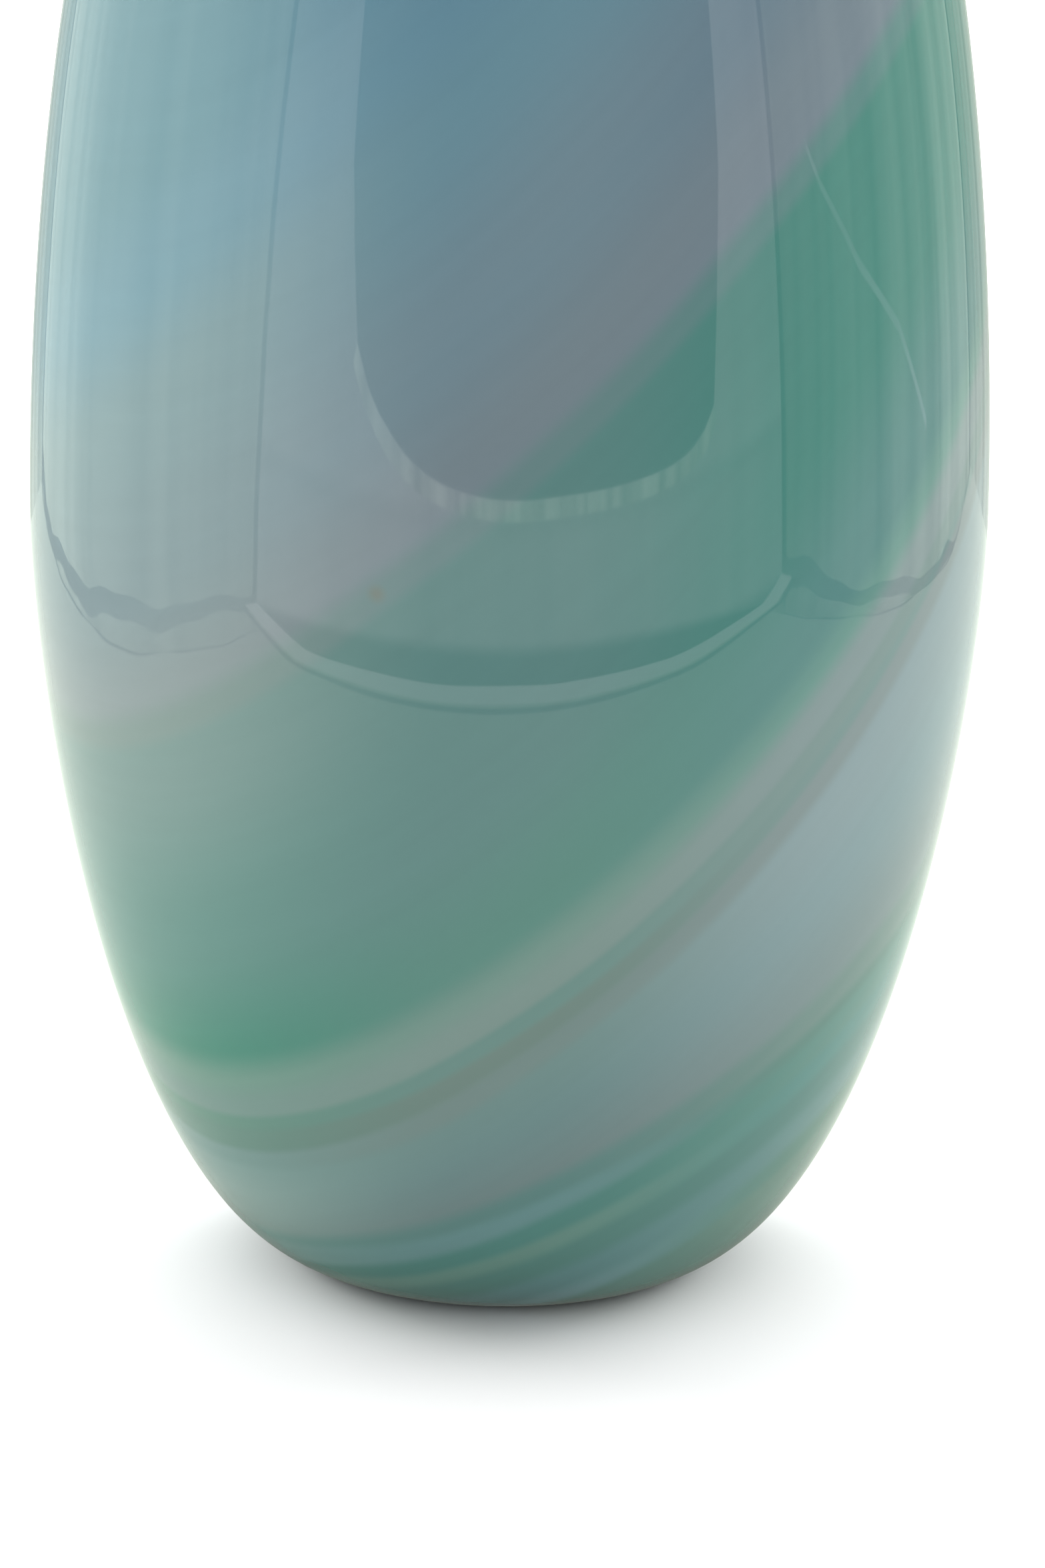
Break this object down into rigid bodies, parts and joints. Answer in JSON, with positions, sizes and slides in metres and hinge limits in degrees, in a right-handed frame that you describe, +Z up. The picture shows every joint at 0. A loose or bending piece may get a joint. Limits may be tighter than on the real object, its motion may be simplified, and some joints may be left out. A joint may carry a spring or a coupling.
{
  "type": "blown glass vase",
  "caption": "Ovoid hand blown vase with a small flat foot and a short turned-out lip: white opal liner under a swirl of fused opaque colour bands.",
  "frame": {"origin": "centre of the foot, on the plane that the vase stands on", "axes": "+Z up along the vase's axis; -Y is the front, +X is the right-hand side"},
  "size_m": [0.153, 0.153, 0.305],
  "materials": {
    "opal_white": "glossy opaque white opal glass",
    "deep_green_glass": "glossy fire-polished opaque glass with soft streaks",
    "pale_blue_glass": "glossy fire-polished opaque glass with soft streaks",
    "teal_glass": "glossy fire-polished opaque glass with soft streaks",
    "olive_glass": "glossy fire-polished opaque glass with soft streaks",
    "green_glass": "glossy fire-polished opaque glass with soft streaks",
    "aqua_glass": "glossy fire-polished opaque glass with soft streaks",
    "blue_lilac_glass": "glossy fire-polished opaque glass with soft streaks",
    "mauve_trail_glass": "glossy fire-polished opaque glass with soft streaks",
    "green_trail_glass": "glossy fire-polished opaque glass with soft streaks",
    "pale_lilac_glass": "glossy fire-polished opaque glass with soft streaks",
    "sea_green_glass": "glossy fire-polished opaque glass with soft streaks",
    "mauve_glass": "glossy fire-polished opaque glass with soft streaks",
    "sky_blue_glass": "glossy fire-polished opaque glass with soft streaks",
    "pale_aqua_glass": "glossy fire-polished opaque glass with soft streaks",
    "shoulder_green_glass": "glossy fire-polished opaque glass with soft streaks",
    "lip_lilac_glass": "glossy fire-polished opaque glass with soft streaks"
  },
  "bodies": {
    "root": {"opal_liner": "opal_white", "deep_green_base": "deep_green_glass", "pale_blue_trail": "pale_blue_glass", "teal_streak": "teal_glass", "olive_trail": "olive_glass", "green_streak": "green_glass", "aqua_streak": "aqua_glass", "blue_lilac_band": "blue_lilac_glass", "mauve_trail": "mauve_trail_glass", "green_trail": "green_trail_glass", "pale_lilac_band": "pale_lilac_glass", "sea_green_band": "sea_green_glass", "mauve_band": "mauve_glass", "sky_blue_band": "sky_blue_glass", "pale_aqua_band": "pale_aqua_glass", "shoulder_green_band": "shoulder_green_glass", "lip_lilac_band": "lip_lilac_glass"}
  },
  "joints": []
}
